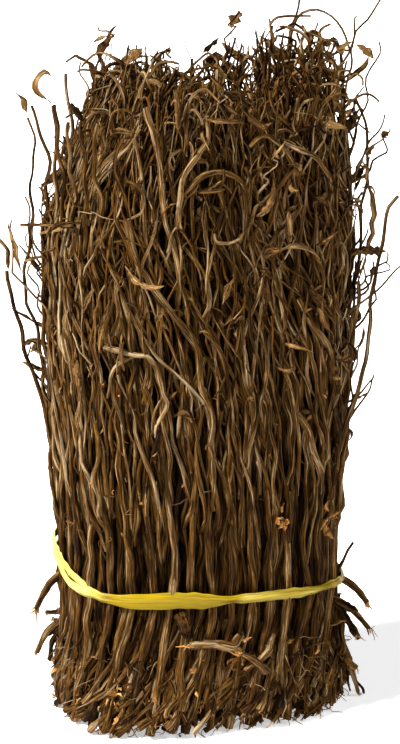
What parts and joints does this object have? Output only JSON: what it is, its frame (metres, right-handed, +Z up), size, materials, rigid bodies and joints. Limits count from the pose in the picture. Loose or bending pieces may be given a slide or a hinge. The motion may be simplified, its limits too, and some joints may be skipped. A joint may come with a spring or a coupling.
{
  "type": "bundle of twigs",
  "caption": "Bundle of dried twigs with torn woody butts and thin wavy shoots, held upright by a strip of yellow plastic film tied round it low down.",
  "frame": {"origin": "middle of the flat foot of the bundle, on the surface it stands on", "axes": "+Z up along the stems, X along the broad side, the broad front facing -Y"},
  "size_m": [0.1592, 0.099, 0.3013],
  "materials": {
    "inner_bark": "dry, dull bark in deep shade",
    "twig_bark": "dry wrinkled bark, dull with a faint sheen on the ridges",
    "dry_leaf": "shrivelled dry leaf, dull",
    "plastic_film": "thin crumpled polyethylene strip, soft gloss"
  },
  "bodies": {
    "root": {"twig_mass": "inner_bark", "tie_strip": "plastic_film", "stem_01": "twig_bark", "stem_02": "twig_bark", "stem_03": "twig_bark", "stem_04": "twig_bark", "stem_05": "twig_bark", "stem_06": "twig_bark", "stem_07": "twig_bark", "stem_08": "twig_bark", "stem_09": "twig_bark", "stem_10": "twig_bark", "stem_11": "twig_bark", "stem_12": "twig_bark", "stem_13": "twig_bark", "stem_14": "twig_bark", "stem_15": "twig_bark", "stem_16": "twig_bark", "stem_17": "twig_bark", "stem_18": "twig_bark", "stem_19": "twig_bark", "stem_20": "twig_bark", "stem_21": "twig_bark", "stem_22": "twig_bark", "stem_23": "twig_bark", "stem_24": "twig_bark", "stem_25": "twig_bark", "stem_26": "twig_bark", "stem_27": "twig_bark", "stem_28": "twig_bark", "stem_29": "twig_bark", "stem_30": "twig_bark", "stem_31": "twig_bark", "stem_32": "twig_bark", "stem_33": "twig_bark", "stem_34": "twig_bark", "stem_35": "twig_bark", "stem_36": "twig_bark", "stem_37": "twig_bark", "stem_38": "twig_bark", "stub_1": "twig_bark", "stub_2": "twig_bark", "stub_3": "twig_bark", "stub_4": "twig_bark", "stub_5": "twig_bark", "stub_6": "twig_bark", "stub_7": "twig_bark", "stub_8": "twig_bark", "leaf_1": "dry_leaf", "leaf_2": "dry_leaf", "leaf_3": "dry_leaf", "leaf_4": "dry_leaf", "leaf_5": "dry_leaf", "leaf_6": "dry_leaf", "leaf_7": "dry_leaf"}
  },
  "joints": []
}
